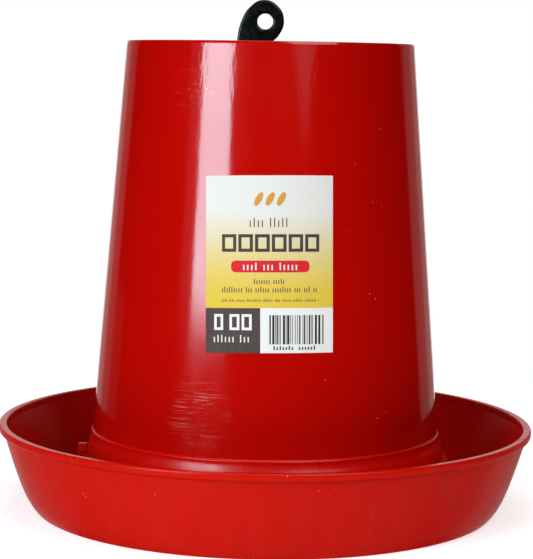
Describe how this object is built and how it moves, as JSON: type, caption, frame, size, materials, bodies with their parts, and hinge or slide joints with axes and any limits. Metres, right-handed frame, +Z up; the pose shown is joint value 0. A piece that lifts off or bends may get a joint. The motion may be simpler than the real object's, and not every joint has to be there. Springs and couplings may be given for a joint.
{
  "type": "gravity poultry feeder",
  "caption": "Hanging gravity feeder for poultry: round feed tray, locking collar, open conical hopper with a blank paper label, and a hook on a bar across its mouth.",
  "frame": {"origin": "centre of the tray's underside, on the surface that the feeder stands on", "axes": "+Z up along the hopper's axis; -Y is the front, where the label is; +X is to the right seen from the front"},
  "size_m": [0.285, 0.285, 0.2706],
  "materials": {
    "red_plastic": "glossy moulded polypropylene, satin outside the tray",
    "black_plastic": "satin moulded plastic",
    "label_paper": "semi-gloss printed adhesive label"
  },
  "bodies": {
    "tray": {"feed_tray": "red_plastic"},
    "collar": {"locking_collar": "red_plastic"},
    "hopper_body": {"hopper": "red_plastic", "hanger_bar": "black_plastic", "label": "label_paper"},
    "hook": {"hanging_hook": "black_plastic"}
  },
  "joints": [
    {"name": "collar_twist", "type": "hinge", "parent": "tray", "child": "collar", "pos_m": [0, 0, 0.0257], "axis": [0, 0, 1], "range_deg": [-25, 0]},
    {"name": "hopper_lift", "type": "slide", "parent": "collar", "child": "hopper_body", "axis": [0, 0, 1], "range_m": [0, 0.06]},
    {"name": "hook_swing", "type": "hinge", "parent": "hopper_body", "child": "hook", "pos_m": [0, 0, 0.23], "axis": [0, 1, 0], "continuous": true}
  ]
}
